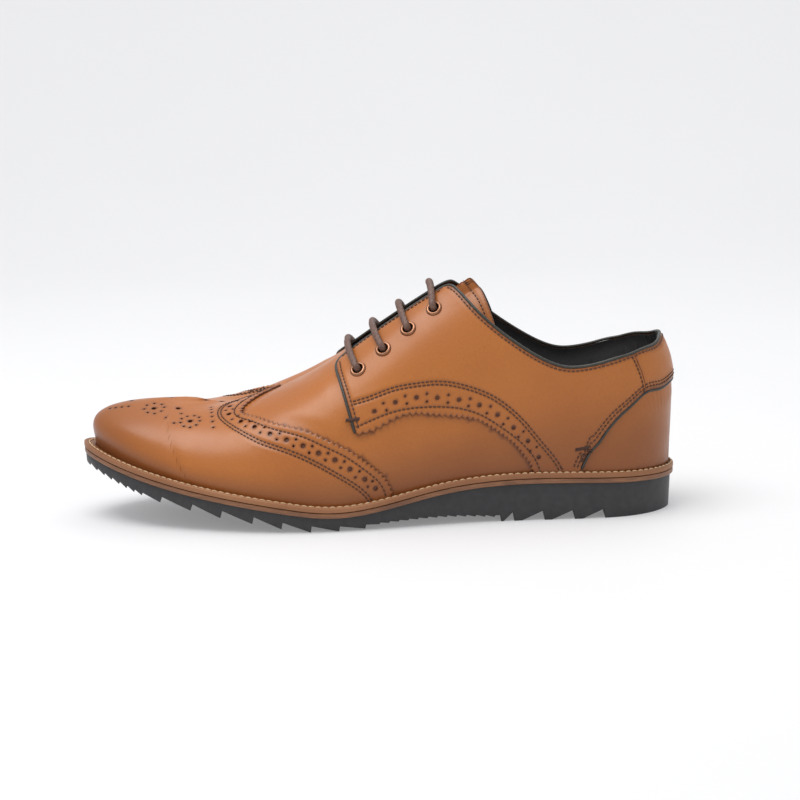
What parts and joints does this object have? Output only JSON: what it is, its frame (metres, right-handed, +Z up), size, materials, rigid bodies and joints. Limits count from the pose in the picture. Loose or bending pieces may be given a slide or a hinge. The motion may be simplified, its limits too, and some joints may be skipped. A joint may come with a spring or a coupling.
{
  "type": "derby shoe",
  "caption": "Left leather derby shoe with wing-tip brogue cap, open lacing and a saw-tooth wedge sole.",
  "frame": {"origin": "centre of the shoe's footprint, on the ground under the sole", "axes": "-X toe, +X heel, -Y outer side of the foot, +Z up"},
  "size_m": [0.3015, 0.1065, 0.1188],
  "materials": {
    "rubber": "matte",
    "stacked_leather": "burnished edge",
    "welt_leather": "satin",
    "cork": "raw cork",
    "spring_steel": "plain",
    "fibre_board": "pressed fibre",
    "foam": "matte foam",
    "sock_leather": "matte",
    "tan_leather": "polished",
    "black_lining": "matte",
    "stiffener": "felted sheet",
    "waxed_lace": "waxed braid",
    "lace_tip": "clear wound tip",
    "black_piping": "satin",
    "antique_brass": "antique",
    "dark_thread": "bonded thread"
  },
  "bodies": {
    "shoe": {"outsole": "rubber", "midsole": "stacked_leather", "welt": "welt_leather", "cork_filler": "cork", "shank": "spring_steel", "insole_board": "fibre_board", "heel_pad": "foam", "sock_liner": "sock_leather", "wing_cap": "tan_leather", "vamp": "tan_leather", "lateral_quarter": "tan_leather", "medial_quarter": "tan_leather", "heel_foxing": "tan_leather", "back_tab": "tan_leather", "vamp_lining": "black_lining", "quarter_lining": "black_lining", "toe_puff": "stiffener", "heel_stiffener": "stiffener", "lateral_facing_stay": "stiffener", "medial_facing_stay": "stiffener", "lace": "waxed_lace", "first_aglet": "lace_tip", "last_aglet": "lace_tip", "topline_piping": "black_piping", "counter_piping": "black_piping", "lateral_eyelet_1": "antique_brass", "lateral_eyelet_2": "antique_brass", "lateral_eyelet_3": "antique_brass", "lateral_eyelet_4": "antique_brass", "lateral_facing_bar_tack": "dark_thread", "lateral_counter_bar_tack": "dark_thread", "medial_eyelet_1": "antique_brass", "medial_eyelet_2": "antique_brass", "medial_eyelet_3": "antique_brass", "medial_eyelet_4": "antique_brass", "medial_facing_bar_tack": "dark_thread", "medial_counter_bar_tack": "dark_thread"},
    "tongue": {"tongue": "tan_leather", "tongue_lining": "black_lining"}
  },
  "joints": [
    {"name": "tongue_hinge", "type": "hinge", "parent": "shoe", "child": "tongue", "pos_m": [-0.0178, 0, 0.0729], "axis": [0, 1, 0], "range_deg": [0, 20], "stiffness_Nm_per_rad": 0.25, "springref_deg": -2.86}
  ]
}
